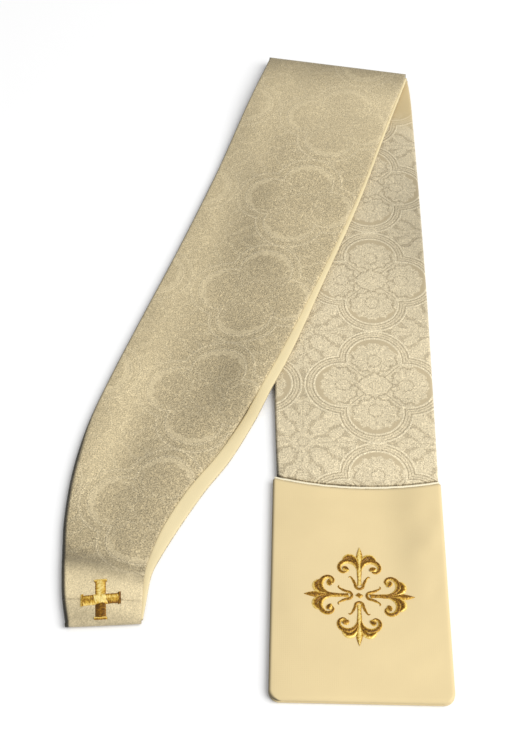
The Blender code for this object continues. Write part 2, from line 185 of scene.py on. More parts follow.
# Creases, each a soft line from one place to another: (down, across) at both ends, how wide, how
# high (a trough is negative)
LEFT_CREASES = (
    (182, -52, 104, 62, 16, 0.9),
    (232, -30, 160, 66, 18, -0.8),
    (330, -20, 286, 60, 16, 0.5),
    (398, -62, 520, -20, 22, -0.5),
    (420, 10, 560, 14, 12, 0.7),
    (452, -20, 600, -14, 12, -0.9),
    (611, -46, 594, 34, 6, 1.3),
    (598, -40, 584, 10, 5, -0.9),
    (560, 24, 604, 8, 7, 0.7),
    (40, -60, 26, 60, 14, -0.5),
)
RIGHT_CREASES = (
    (140, 30, 220, 75, 14, 0.4),
    (250, -30, 330, 20, 16, -0.4),
    (395, -57, 440, 0, 14, 0.5),
    (420, 30, 470, 74, 12, 0.4),
    (470, -50, 478, 60, 9, 0.5),
)
PANEL_CREASES = (
    (512, 74, 548, 34, 9, -0.8),
    (534, 80, 566, 40, 8, 0.9),
    (575, 74, 600, 56, 6, -0.5),
    (508, -50, 514, 70, 5, -0.45),
    (640, -50, 668, 20, 12, -0.35),
    (560, -56, 620, -40, 10, 0.35),
    (655, 30, 640, 72, 8, 0.4),
)


def creased(creases, down, across):
    height = 0.0
    for down_a, across_a, down_b, across_b, wide, high in creases:
        run_down, run_across = down_b - down_a, across_b - across_a
        length = math.hypot(run_down, run_across)
        along = ((down - down_a) * run_down + (across - across_a) * run_across) / length
        aside = ((down - down_a) * run_across - (across - across_a) * run_down) / length
        fade = min(along, length - along) / (0.3 * length)
        if fade > 0 and abs(aside) < 3 * wide:
            height += high * smoothstep(fade) * math.exp(-((aside / wide) ** 2))
    return height


def slack(down, across, seed):
    """The slight unevenness of cloth that lies by its own weight."""
    soft = noise.noise(Vector((down * 0.017, across * 0.023, seed)))
    fine = noise.noise(Vector((down * 0.06, across * 0.07, seed + 9)))
    return 0.45 * soft + 0.10 * fine


class Section:
    """A straight cut across a run, with the heights of its top and its underside."""

    def __init__(self, start, end, lean, creases, loft=(0, 0), climbs=False, sag=0.0, band=None):
        self.start, self.end = start, end
        self.width = (end - start).length
        self.across = (end - start).normalized()
        self.onward = Vector((self.across.y, -self.across.x, 0))
        self.lean, self.creases = lean, creases
        self.loft, self.climbs, self.sag, self.band = loft, climbs, sag, band
        self.calm, self.gather, self.dip = 1.0, 0.0, 0.0

    def moved(self, vector):
        start, end = self.start + vector, self.end + vector
        return Section(start, end, self.lean, self.creases, self.loft, self.climbs, self.sag, self.band)

    def foot(self, offset):
        share = min(max(offset / self.width, 0.0), 1.0)
        drop = self.sag * 4 * share * (1 - share)
        return self.start + self.across * offset + self.onward * drop

    def top(self, offset):
        point = self.foot(offset)
        share = offset / self.width
        rise = smooth_through((0, 0.4, 0.75, 1), (0, *self.loft, 0), share)
        down, across = read_place(point, self.lean)
        edge = smoothstep(min(offset, self.width - offset) / 14)
        uneven = creased(self.creases, down, across) + slack(down, across, self.lean)
        uneven += self.gather * math.sin(across * 1.3 + math.sin(across * 0.4) * 2) - self.dip
        return STACK + rise + uneven * edge * self.calm + (soft_climb(point) if self.climbs else 0)

    def base(self, offset):
        return underside(self.foot(offset)) if self.climbs else 0.0

    def profile(self, inset=0.0, flats=46, turns=6):
        """(offset, height) pairs over the top, from turned edge to turned edge."""
        radius = ROLL - inset
        angles = [math.pi / 2 * k / turns for k in range(turns)]
        edge = [(ROLL - radius * math.cos(a), radius * math.sin(a) - ROLL) for a in angles]
        flat = [ROLL + (self.width - 2 * ROLL) * k / flats for k in range(flats + 1)]
        left, right = self.top(ROLL), self.top(self.width - ROLL)
        pairs = [(x, left + h) for x, h in edge]
        pairs += [(x, self.top(x) - inset) for x in flat]
        return pairs + [(self.width - x, right + h) for x, h in reversed(edge)]


def left_section(down):
    row = read_row(LEFT_ROWS, LEFT_COLUMNS, down)
    start = on_table(row["outer_down"], row["outer_across"], LEFT_LEAN)
    end = on_table(row["inner_down"], row["inner_across"], LEFT_LEAN)
    loft = (row["middle_loft"], row["ridge_loft"])
    section = Section(start, end, LEFT_LEAN, LEFT_CREASES, loft, climbs=True, band=row["band"])
    section.calm = smoothstep((down - LEFT_TOP) / 30) * smoothstep((LEFT_END - down) / 8)
    from_seam = abs(down - NECK_SEAM_DOWN)
    section.gather, section.dip = 0.28 * math.exp(-from_seam / 4), 0.4 * math.exp(-((from_seam / 0.8) ** 2))
    return section


def right_section(down):
    row = read_row(RIGHT_ROWS, RIGHT_COLUMNS, down)
    start = on_table(row["left_down"], row["left_across"], RIGHT_LEAN)
    end = on_table(row["right_down"], row["right_across"], RIGHT_LEAN)
    section = Section(start, end, RIGHT_LEAN, RIGHT_CREASES, sag=row["sag"])
    section.calm = smoothstep((down - RIGHT_TOP - 40) / 60)
    return section


LEFT_TOP = (LEFT_ROWS[0][0] + LEFT_ROWS[0][2]) / 2 + TOP_FOLD_RADIUS
LEFT_END = (LEFT_ROWS[-1][0] + LEFT_ROWS[-1][2]) / 2 - NECK_FOLD_RADIUS
RIGHT_TOP = (RIGHT_ROWS[0][0] + RIGHT_ROWS[0][2]) / 2 + TOP_FOLD_RADIUS
RIGHT_END = (RIGHT_ROWS[-1][0] + RIGHT_ROWS[-1][2]) / 2


def steps(start, end, spacing):
    count = max(1, round(abs(end - start) / spacing))
    return [start + (end - start) * k / count for k in range(count + 1)]


# Shader maths


class Value:
    """A socket that can stand in a sum."""

    def __init__(self, tree, socket):
        self.tree, self.socket = tree, socket

    def maths(self, operation, *others, first=None):
        values = [self if first is None else first, *others]
        return add_node(self.tree, "ShaderNodeMath", {"operation": operation}, values)

    def __add__(self, other):
        return self.maths("ADD", other)

    __radd__ = __add__

    def __sub__(self, other):
        return self.maths("SUBTRACT", other)

    def __rsub__(self, other):
        return self.maths("SUBTRACT", self, first=other)

    def __mul__(self, other):
        return self.maths("MULTIPLY", other)

    __rmul__ = __mul__

    def __truediv__(self, other):
        return self.maths("DIVIDE", other)

    def __abs__(self):
        return self.maths("ABSOLUTE")

    def at_most(self, other):
        return self.maths("MINIMUM", other)

    def at_least(self, other):
        return self.maths("MAXIMUM", other)

    def fraction(self):
        return self.maths("FRACT")

    def sine(self):
        return self.maths("SINE")

    def root(self):
        return self.maths("SQRT")

    def ramp(self, low, high):
        """0 at low and 1 at high, smooth between; low may be the higher number."""
        settings = {"interpolation_type": "SMOOTHSTEP"}
        return add_node(self.tree, "ShaderNodeMapRange", settings, [self, low, high, 0.0, 1.0])

    def line(self, half_width, soft=0.3):
        """1 where a distance is within half_width of nothing."""
        return abs(self).ramp(half_width + soft, half_width - soft)

    def within(self, low, high):
        return self.at_least(low).at_most(high)


def add_node(tree, kind, settings, sockets, out=0):
    """Adds a node, sets it up, feeds its sockets and gives one of its outputs as a Value."""
    made = tree.nodes.new(kind)
    for key, value in settings.items():
        if key == "stops":
            for place, colour in value[1:-1]:
                made.color_ramp.elements.new(place)
            for element, (place, colour) in zip(made.color_ramp.elements, value):
                element.position = place
                element.color = (*colour, 1)
        else:
            setattr(made, key, value)
    for key, value in sockets.items() if isinstance(sockets, dict) else enumerate(sockets):
        if isinstance(value, Value):
            tree.links.new(value.socket, made.inputs[key])
        else:
            made.inputs[key].default_value = value
    return Value(tree, made.outputs[out])


def length(x, y):
    return (x * x + y * y).root()


class Finish:
    """A material in the making, with its place on the cut cloth in millimetres."""

    def __init__(self, name, **constants):
        self.material = bpy.data.materials.new(name)
        self.material.use_nodes = True
        self.tree = self.material.node_tree
        self.shader = self.tree.nodes["Principled BSDF"]
        for socket, value in constants.items():
            self.shader.inputs[socket.replace("_", " ").title().replace("Ior", "IOR")].default_value = value
        self.cut = self.node("ShaderNodeUVMap", {"uv_map": "cut"}, {})
        self.across = self.part(self.cut, 0)
        self.down = self.part(self.cut, 1)
        # bare: how far the figure is painted out, as lost in the light; shine: the painted light and shade
        self.bare = self.node("ShaderNodeAttribute", {"attribute_name": "bare"}, {}, out=2)
        self.shine = self.node("ShaderNodeAttribute", {"attribute_name": "shine"}, {}, out=2)

    def node(self, kind, settings, sockets, out=0):
        return add_node(self.tree, kind, settings, sockets, out)

    def part(self, vector, axis):
        return self.node("ShaderNodeSeparateXYZ", {}, [vector], out=axis)

    def noise(self, scale, detail=2.0, roughness=0.5, stretch=(1, 1, 1), distortion=0.0, out=0):
        place = self.node("ShaderNodeMapping", {}, {"Vector": self.cut, "Scale": stretch})
        sockets = {"Vector": place, "Scale": scale, "Detail": detail, "Roughness": roughness}
        sockets["Distortion"] = distortion
        return self.node("ShaderNodeTexNoise", {"noise_dimensions": "2D"}, sockets, out=out)

    def mix(self, factor, first, second, blend="MIX"):
        first, second = (c if isinstance(c, Value) else (*c, 1) for c in (first, second))
        settings = {"data_type": "RGBA", "blend_type": blend}
        return self.node("ShaderNodeMix", settings, {0: factor, 6: first, 7: second}, out=2)

    def toned(self, colour, tone):
        grey = self.node("ShaderNodeCombineColor", {}, [tone, tone, tone])
        return self.mix(1.0, colour, grey, "MULTIPLY")

    def feed(self, socket, value):
        self.tree.links.new(value.socket, self.shader.inputs[socket])

    def bump(self, height, strength, distance):
        sockets = {"Strength": strength, "Distance": distance, "Height": height}
        self.feed("Normal", self.node("ShaderNodeBump", {}, sockets))


# The figured design: in each repeat a frame of four lobes with a leaf in each, and sprigs between

REPEAT_ACROSS, REPEAT_DOWN = 117.0, 115.0
LOBE_OUT, LOBE_RADIUS, FRAME_WIDE = 27.0, 21.5, 9.5
LEAF_OUT, LEAF_HALF_LENGTH, LEAF_HALF_WIDTH = 28.5, 15.2, 18.6
CORE_REACH = 33.0  # from the middle of the further lobe
SPRIG_MIDDLE = (0, 0, 9, 9)

# Leaflets of a sprig: out and aside of its middle, half length, half width, degrees turned
SPRIG_LEAVES = (
    (18, 0, 9, 5),
    (34, 0, 8, 4.4),
    (15, 14, 9.5, 5.5, 45),
    (27, 9, 7, 4.2, 35),
    (26, 22, 7, 4.5, 45),
    (42, 6, 5, 3, 10),
)


def figured_design(finish, middle_across, middle_down):
    """Where the figure, the light cords, the smooth ground and the fill between frames are, 0 to 1."""
    rag = finish.noise(0.5, 3.0, 0.6, out=1)
    rag_x = finish.part(rag, 0) - 0.5
    rag_y = finish.part(rag, 1) - 0.5
    along = ((finish.across - middle_across) / REPEAT_ACROSS + 0.5).fraction() - 0.5
    aside = ((finish.down - middle_down) / REPEAT_DOWN + 0.5).fraction() - 0.5
    x, y = abs(along * REPEAT_ACROSS), abs(aside * REPEAT_DOWN)
    ragged_x, ragged_y = x + rag_x * 5.0, y + rag_y * 5.0

    # past the inner line of the nearer lobe, with the small gap between all four closed
    to_side, to_end = length(x - LOBE_OUT, y), length(x, y - LOBE_OUT)
    past = to_side.at_most(to_end).at_most(length(x, y) + LOBE_RADIUS - 12) - LOBE_RADIUS
    inside = past.ramp(0.3, -0.3)
    beyond = past.ramp(FRAME_WIDE - 0.3, FRAME_WIDE + 0.3)
    frame_band = (1 - inside) * (1 - beyond)

    # the leaf in each lobe, broad across it, with a veined heart
    side = (to_side - to_end).ramp(0.4, -0.4)
    out = ragged_x * side + ragged_y * (1 - side) - LEAF_OUT
    cross = ragged_y * side + ragged_x * (1 - side)
    turn = cross.maths("ARCTAN2", out)
    reach = length(out / LEAF_HALF_LENGTH, cross / LEAF_HALF_WIDTH)
    teeth = (turn * 11.0).sine() * 0.06
    leaf = (reach - teeth).ramp(1.03, 0.97)
    leaf_edge = (reach - teeth - 1.0).line(0.05, 0.03)
    heart = (length(out + 3.0, cross * 1.15) - 6.4).line(0.4)
    vein = (turn * 7.0).sine().line(0.16, 0.12) * reach.ramp(0.5, 0.6) * reach.ramp(0.95, 0.85)
    fork = (out + 7.0 + cross * 0.5).line(0.3) * (cross - 3.4).line(2.6)
    leaf_lines = heart + vein * 0.8 + fork * 0.7

    # the flower in the middle, and the core where leaves and flower meet
    centre = ragged_x * 0.86 + ragged_y * 1.06 + (x * 0.55).sine() * 1.1 - 15.2
    flower = centre.ramp(0.3, -0.3)
    core = (to_side.at_least(to_end) - CORE_REACH).ramp(0.5, -0.5)
    bloom = leaf.at_least(flower).at_least(core) * inside
    knot = (x * 0.9 + y * 1.1 - 5.5).line(0.5) * 0.6
    seams = (leaf_edge * (1 - flower)).at_least((x - y).line(0.6) * (1 - flower)) * core
    bloom_lines = centre.line(0.8).at_least(seams).at_least(knot).at_least(leaf_lines * leaf * (1 - flower))

    # sprigs about the corners of the repeat
    corner_x, corner_y = REPEAT_ACROSS / 2 - ragged_x, REPEAT_DOWN / 2 - ragged_y
    far, near = corner_x.at_least(corner_y), corner_x.at_most(corner_y)

    def leaflet(out_at, aside_at, long, wide, turned=0.0):
        cosine, sine = math.cos(math.radians(turned)), math.sin(math.radians(turned))
        lengthwise = (far - out_at) * (cosine / long) + (near - aside_at) * (sine / long)
        crosswise = (near - aside_at) * (cosine / wide) - (far - out_at) * (sine / wide)
        return length(lengthwise, crosswise)

    sprig = leaflet(*SPRIG_MIDDLE)
    for shape in SPRIG_LEAVES:
        sprig = sprig.at_most(leaflet(*shape))
    sprigs = (sprig + (finish.noise(0.3, 2.0, 0.6) - 0.5) * 0.7).ramp(1.12, 0.98) * beyond
    sprig_lines = (length(corner_x, corner_y) - 4.2).line(0.4) + near.line(0.3) * far.ramp(9, 12)

    # the frame: light cords with a dotted ribbon between
    waved = past + rag_x * 0.9
    cords = (waved - 1.0).line(0.6) + (waved - FRAME_WIDE + 0.9).line(0.6)
    dark_lines = (waved - 2.3).line(0.5) + (waved - 4.7).line(0.3) + (waved - FRAME_WIDE + 2.4).line(0.5)
    ribbon = 1 - dark_lines
    knots = (length(x * 0.8, y - REPEAT_DOWN / 2) - 6.5).ramp(0.4, -0.4) * 0.8

    figure = bloom.at_least(sprigs).at_least(frame_band * ribbon).at_least(knots)
    drawn = (bloom_lines * inside).at_least(sprig_lines * sprigs).at_most(1)
    cords = (cords * frame_band).at_most(1)
    return figure * (1 - drawn * 0.95), cords, inside * (1 - bloom), beyond


def brocade(name, middle, ground, plain, figure_colour, cord_colour, grain, smooth, lost=0.0):
    """Figured satin, whose figure and frames are grainy and whose ground about the leaves is smooth.
    Its colour is multiplied by painted light and shade, and some of the figure is lost where the painted
    light is strong, as where satin throws the light back."""
    finish = Finish(name, roughness=0.52, sheen_weight=0.12, specular_ior_level=0.3)
    figure, cords, clear, between = figured_design(finish, *middle)
    bare = finish.bare
    # the figure fades where it is painted out and where the painted light is strong
    drawn = (1 - bare) * (1 - (finish.shine - 0.75).within(0, 0.45) * lost)
    figure, cords, clear = figure * drawn, cords * drawn, clear.at_least(bare)
    worm = finish.noise(0.58, 0.5, 0.6, distortion=1.2) - 0.5
    crepe = 0.5 - (abs(worm) * 7.0).at_most(1)
    speckle = finish.noise(0.85, 1.5, 0.6) - 0.5
    cloudy = finish.noise(0.035) - 0.5
    shown = finish.mix(figure.at_least(between * 0.3 * drawn), finish.mix(bare, ground, plain), figure_colour)
    shown = finish.mix(cords, shown, cord_colour)
    grains = (crepe * 0.36 + speckle * 1.1) * (1 - clear * smooth) * (1 - bare * 0.45)
    # the colour is multiplied by the painted light and shade
    finish.feed("Base Color", finish.toned(shown, (grains * grain + cloudy * 0.1 + 1.0) * finish.shine))
    finish.feed("Roughness", 0.56 - figure * 0.1 + speckle * 0.2)
    finish.bump(figure * 0.3 + cords * 0.5 + grains * 1.6, 0.9, 0.0004)
    return finish.material


def plain_cloth(name, colour, shade, weave=1.0):
    finish = Finish(name, roughness=0.85, sheen_weight=0.1, specular_ior_level=0.2)
    cloudy = finish.noise(0.03, 3.0) - 0.5
    warp = finish.noise(1.6, 2.0, 0.6, stretch=(2.2, 0.6, 1)) - 0.5
    weft = finish.noise(1.6, 2.0, 0.6, stretch=(0.6, 2.2, 1)) - 0.5
    share = (cloudy * 1.2 + warp * 0.5 + weft * 0.4 + 0.35).within(0, 1)
    # the colour is multiplied by the painted light and shade
    finish.feed("Base Color", finish.toned(finish.mix(share, colour, shade), finish.shine))
    finish.feed("Roughness", 0.82 + warp * 0.2)
    threads = (finish.across * 4.2).sine() + (finish.down * 4.2).sine()
    finish.bump(threads * 0.25 + warp * 0.6 + weft * 0.5, 0.35 * weave, 0.00012)
    return finish.material


def satin_cord(name, colour, shade):
    finish = Finish(name, roughness=0.42, sheen_weight=0.3)
    twist = (finish.across * 5.0 + finish.down * 2.0).sine()
    finish.feed("Base Color", finish.mix(twist * 0.25 + 0.4, colour, shade))
    finish.bump(twist, 0.5, 0.0001)
    return finish.material


def gold_thread(name, light, middle, shaded_brown, dark):
    """Lustrous thread, coloured by the painted light and shade laid on each band, with painted shade
    where a stitch dives into the cloth.
    """
    finish = Finish(name, roughness=0.4, metallic=0.3, specular_ior_level=0.4)
    fleck = finish.noise(1.3, 2.0, 0.7) - 0.5
    # tone: the band's painted light, random flecks, and painted shade towards the band's edges
    tone = (finish.shine + fleck * 1.2 - abs(finish.across).ramp(0.86, 1.0) * 0.3).within(0, 1)
    # painted light from the darkest shade through brown to bright gold
    stops = ((0, dark), (0.28, shaded_brown), (0.6, middle), (1, light))
    finish.feed("Base Color", finish.node("ShaderNodeValToRGB", {"stops": stops}, [tone]))
    finish.feed("Roughness", 0.42 + fleck * 0.3)
    finish.bump(fleck, 0.3, 0.0001)
    return finish.material


# Making meshes

MERGED = 1e-5  # points nearer than this are one


def as_piece(name, bm, cloth, slot_name, nodes, closed=True):
    bmesh.ops.scale(bm, vec=(MM, MM, MM), verts=bm.verts)
    if closed:
        bmesh.ops.recalc_face_normals(bm, faces=bm.faces)
        if bm.calc_volume(signed=True) < 0:
            bmesh.ops.reverse_faces(bm, faces=bm.faces)
    mesh = bpy.data.meshes.new(name)
    bm.to_mesh(mesh)
    bm.free()
    mesh.materials.append(cloth)
    mesh.shade_smooth()
    piece = bpy.data.objects.new(name, mesh)
    bpy.context.collection.objects.link(piece)
    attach(piece, "root")
    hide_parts(*nodes)
    return piece


def grid_through(rows, cuts, sheens=None, bares=None):
    """A sheet through rows of points, with its place on the cut as its UV map, its painted light and shade
    and how far its figure is painted out.
    """
    bm = bmesh.new()
    across, down = len(rows[0]), len(rows)
    bmesh.ops.create_grid(bm, x_segments=across - 1, y_segments=down - 1, size=1)
    bm.verts.ensure_lookup_table()
    uv = bm.loops.layers.uv.verify()
    shine = bm.verts.layers.float.new("shine")
    bare = bm.verts.layers.float.new("bare")
    for i, vert in enumerate(bm.verts):
        vert.co = rows[i // across][i % across]
        vert[bare] = bares[i // across][i % across] if bares else 0.0
        vert[shine] = sheens[i // across][i % across] if sheens else 1.0
    for face in bm.faces:
        for loop in face.loops:
            i = loop.vert.index
            loop[uv].uv = cuts[i // across][i % across]
    return bm


def name_cut(piece):
    """Names the UV map as the materials read it."""
    piece.data.uv_layers[0].name = "cut"
    return piece


def cloth_wall(name, rows, cuts, sheens, cloth, slot_name, nodes, thickness=BROCADE, bares=None):
    """A cloth through rows of points on its outer face, with its thickness behind them."""
    bm = grid_through(rows, cuts, sheens, bares)
    bmesh.ops.reverse_faces(bm, faces=bm.faces)
    piece = name_cut(as_piece(name, bm, cloth, slot_name, nodes, closed=False))
    wall = piece.modifiers.new("Wall", "SOLIDIFY")
    wall.thickness = thickness * MM
    wall.offset = -1
    wall.use_even_offset = True
    return piece


def loft(name, rings, cuts, cloth, slot_name, nodes, sheens=None):
    """A closed solid through rings of points, capped at both ends."""
    joined = ([[*ring, ring[0]] for ring in table] if table else None for table in (rings, cuts, sheens))
    bm = grid_through(*joined)
    bmesh.ops.remove_doubles(bm, verts=bm.verts, dist=MERGED)
    bmesh.ops.holes_fill(bm, edges=bm.edges, sides=0)
    bmesh.ops.triangulate(bm, faces=[f for f in bm.faces if len(f.verts) > 4])
    return name_cut(as_piece(name, bm, cloth, slot_name, nodes))


# Rows of points, with their places on the cut, over a run and round a fold


def cut_places(points, lean):
    """Where points lie on the cut, across before down."""
    return [read_place(point, lean)[::-1] for point in points]


def run_rows(sections):
    rows, cuts = [], []
    for section in sections:
        pairs = section.profile()
        rows.append([section.foot(x) + UP * h for x, h in pairs])
        cuts.append(cut_places([section.foot(x) for x, h in pairs], section.lean))
    return rows, cuts


def fold_rows(section, radius, outward, count):
    """Rows that carry a run on round a fold and back under it, settling to the fold's own height."""
    rows, cuts = [], []
    axis = UP * radius
    along = frame_of(section.lean)[0]
    sense = 1 if outward.dot(along) > 0 else -1
    for step in range(1, count + 1):
        angle = math.pi * step / count
        normal = UP * math.cos(angle) + outward * math.sin(angle)
        opened = smoothstep(step / (count / 4))
        row, cut = [], []
        for x, h in section.profile():
            flat = section.top(min(max(x, ROLL), section.width - ROLL))
            settled = flat + (2 * radius - flat) * step / count
            reach = h + (settled - h) * opened - radius
            point = section.foot(x) + axis + normal * reach
            point.z = max(point.z, 0.0)
            row.append(point)
            down, across = read_place(section.foot(x), section.lean)
            cut.append((across, down + sense * angle * radius))
        rows.append(row)
        cuts.append(cut)
    for back in (TUCK / 2, TUCK):
        rows.append([point - outward * back for point in rows[count - 1]])
        cuts.append([(across, down + sense * back) for across, down in cuts[count - 1]])
    return rows, cuts


UPWARD = -left_section(LEFT_TOP).onward
ROUND_NECK = left_section(LEFT_END).onward


def swell(value, middle, half_width):
    """A soft hump, 1 at its middle and nearly gone at twice its half width."""
    return math.exp(-(((value - middle) / half_width) ** 2))


def cloudy(light, across, down, share, seed):
    """The same painted light, a little uneven, as hand-pressed satin is."""
    return light * (1 + share * noise.noise(Vector((down * 0.02, across * 0.03, seed))))


LEFT_HALF_WIDTH = 62.0
CREST_ACROSS = -45.0  # where the painted highlight of the long crest beside the turned edge runs
VALLEY_DOWN = (180, 260, 320, 400, 560)  # the painted shade of the dull valley wanders across the run
VALLEY_ACROSS = (-28, 0, 38, 25, 12)
NECK_CREASE = 602.0  # where painted shade marks the run sinking before it rises over the neck


def left_sheen(across, down):
    """How much light is painted on the left run: a shaded top, a crest, a valley, a crease, a lit neck."""
    side = across / LEFT_HALF_WIDTH
    top = 0.2 + 0.76 * smoothstep((down + 40) / 90)
    tilt = 0.04 + 0.1 * (1 - smoothstep((down - 30) / 60)) - 0.12 * smoothstep((down - 600) / 20)
    crest = (0.07 + 0.15 * swell(down, 470, 80)) * (1 - smoothstep((down - 530) / 50))
    valley = 0.1 + 0.12 * swell(down, 415, 35)
    valley *= smoothstep((down - 150) / 50) * (1 - smoothstep((down - 570) / 20))
    crease = 0.3 - 0.17 * side
    neck = 0.22 * smoothstep((down - NECK_CREASE) / 12) - 0.36 * smoothstep((down - 626) / 18)
    light = top + tilt * side + neck
    light += crest * swell(across, CREST_ACROSS, 14)
    valley_down = min(max(down, VALLEY_DOWN[0]), VALLEY_DOWN[-1])
    light -= valley * swell(across, smooth_through(VALLEY_DOWN, VALLEY_ACROSS, valley_down), 18)
    light -= crease * swell(down, NECK_CREASE - 9 * smoothstep(side / 0.6), 10)
    return cloudy(light, across, down, 0.05, 4)


def right_sheen(across, down):
    """Painted light on the right run: brighter down its length, with painted shade on its right side
    part of the way.
    """
    light = 0.85 + 0.05 * smoothstep((across + 50) / 60)
    light += 0.13 * smoothstep((down - 200) / 160) + 0.03 * smoothstep((down - 420) / 60)
    light += 0.14 * smoothstep((across - 10) / 60) * swell(down, 0, 60)
    light -= 0.18 * smoothstep((across - 20) / 50) * swell(down, 220, 90)
    return cloudy(light, across, down, 0.05, 7)


def panel_sheen(across, down):
    """The end panel lies flat, with the painted shade of one shallow dip that fades towards its foot."""
    dip = 0.13 * swell(across, 45, 16) * (1 - smoothstep((down - 500) / 170))
    return cloudy(1.0 - dip - 0.06 * swell(across, -50, 20), across, down, 0.03, 11)


def edge_shade(distance, deep):
    """The painted shade on the turned edge at the left, that far in from it."""
    dark = 0.2 - 0.15 * deep
    return dark + (1 - dark) * smoothstep((distance - 1.8 * deep) / (2.2 - 0.2 * deep))


DEEP_SHADE_FROM = 450  # how far down the bundle is thick enough for a deeper painted shade on its turned edge


def sheen_for(cuts, read, deep_from=DEEP_SHADE_FROM):
    """The painted light for each place on the cut, with painted shade on the turned edge."""
    rows = []
    for row in cuts:
        left, down = row[0]
        deep = smoothstep((down - deep_from) / 70)
        rows.append([read(across, down) * edge_shade(across - left, deep) for across, down in row])
    return rows


PATTERN_SLANT, SLANT_MIDDLE = 0.031, 191


def slanted(cuts):
    """Half A is cut a little off the grain."""
    return [[(across + PATTERN_SLANT * (down - SLANT_MIDDLE), down) for across, down in row] for row in cuts]


# The cloths

# Two painted-light copies of one brocade: the left run's colours as lying from the light, the right's to it
LEFT_BROCADE = brocade(
    "champagne brocade lying from the light", middle=(21, 200), ground=(0.625, 0.52, 0.317),
    plain=(0.625, 0.52, 0.317), figure_colour=(0.53, 0.43, 0.248), cord_colour=(0.725, 0.61, 0.385),
    grain=1.25, smooth=0.4, lost=1.2,
)
RIGHT_BROCADE = brocade(
    "champagne brocade lying to the light", middle=(25, 169.5), ground=(0.49, 0.403, 0.252),
    plain=(0.56, 0.44, 0.235), figure_colour=(0.745, 0.635, 0.42), cord_colour=(0.84, 0.725, 0.49),
    grain=0.8, smooth=0.85,
)
PANEL_CLOTH = plain_cloth("cream plain cloth", (0.738, 0.592, 0.326), (0.692, 0.552, 0.303))
LINING_CLOTH = plain_cloth("cream lining", (0.76, 0.645, 0.39), (0.70, 0.59, 0.35), 0.8)
PIPING_CLOTH = satin_cord("ivory cord", (0.93, 0.86, 0.64), (0.80, 0.70, 0.48))
GOLD = gold_thread("gold embroidery thread", (1.0, 0.82, 0.32), (0.70, 0.43, 0.05), (0.30, 0.13, 0.004),
                   (0.11, 0.045, 0.001))


def declare(rows):
    """Measures what shows of a sheet along its rows, its length and its widths; the measures are not used."""
    down = sum((b[len(b) // 2] - a[len(a) // 2]).length for a, b in zip(rows, rows[1:]))
    widths = [sum((q - p).length for p, q in zip(row, row[1:])) for row in rows]


# The pieces

RUN_STEP = 2.5
NECK_STEP = 1.2
SEAM = 0.06  # left open where two pieces are sewn together
FOLD_STEPS = 20
NECK_BARE = 0.7


def left_bare(across, down):
    """How far the figure is painted out, as lost in the light: near the top fold, at the neck and on
    the outer side.
    """
    near_fold = 0.4 * smoothstep((170 - down) / 110)
    at_neck = NECK_BARE * smoothstep((down - 594) / 14)
    outer = 0.3 * smoothstep((-8 - across) / 34) * smoothstep((560 - down) / 60)
    return max(near_fold, at_neck, outer)


def half_a_brocade():
    downs = steps(LEFT_TOP, NECK_SEAM_DOWN - SEAM / 2, RUN_STEP)
    run, run_cuts = run_rows([left_section(down) for down in downs])
    fold, fold_cuts = fold_rows(left_section(LEFT_TOP), TOP_FOLD_RADIUS, UPWARD, FOLD_STEPS)
    rows, cuts = [*reversed(fold), *run], [*reversed(fold_cuts), *run_cuts]
    sheens = sheen_for(cuts, left_sheen)
    bares = [[left_bare(across, down) for across, down in row] for row in cuts]
    cuts, nodes = slanted(cuts), ["half_a_brocade"]
    piece = cloth_wall("half_a_cloth", rows, cuts, sheens, LEFT_BROCADE, "brocade", nodes, bares=bares)
    declare(rows)
    return piece


def half_b_neck():
    downs = steps(NECK_SEAM_DOWN + SEAM / 2, LEFT_END, NECK_STEP)
    run, run_cuts = run_rows([left_section(down) for down in downs])
    fold, fold_cuts = fold_rows(left_section(LEFT_END), NECK_FOLD_RADIUS, ROUND_NECK, FOLD_STEPS)
    rows, cuts = [*run, *fold], [*run_cuts, *fold_cuts]
    sheens = sheen_for(cuts, left_sheen)
    # the lit neck: its figure painted out, as lost in the light
    bares = [[NECK_BARE] * len(row) for row in rows]
    cuts = [[(-across, 2 * NECK_SEAM_DOWN - down) for across, down in row] for row in cuts]
    nodes = ["half_b_neck"]
    piece = cloth_wall("half_b_neck_cloth", rows, cuts, sheens, LEFT_BROCADE, "brocade", nodes, bares=bares)
    declare(rows)
    return piece


def half_b_lining():
    rows, cuts = [], []
    for down in steps(LEFT_TOP, LEFT_END - 0.5, 3):
        section = left_section(down)
        wide = section.width + section.band
        top = section.base(wide) + BAND_BED + GAP + LINING
        shares = [k / 8 for k in range(9)]
        row = []
        for share in shares:
            offset = section.width - 1.0 + (section.band + 1.0) * share
            drop = 0.5 * max(0.0, share - 0.6) ** 2 / 0.16
            wave = slack(down, offset, 3) * 0.5 * math.sin(math.pi * share)
            row.append(section.foot(offset) + UP * (top - drop + wave))
        rows.append(row)
        cuts.append(cut_places(row, LEFT_LEAN))
    nodes = ["half_b_lining"]
    piece = cloth_wall("half_b_lining_edge", rows, cuts, None, LINING_CLOTH, "lining", nodes, LINING)
    declare(rows)
    return piece


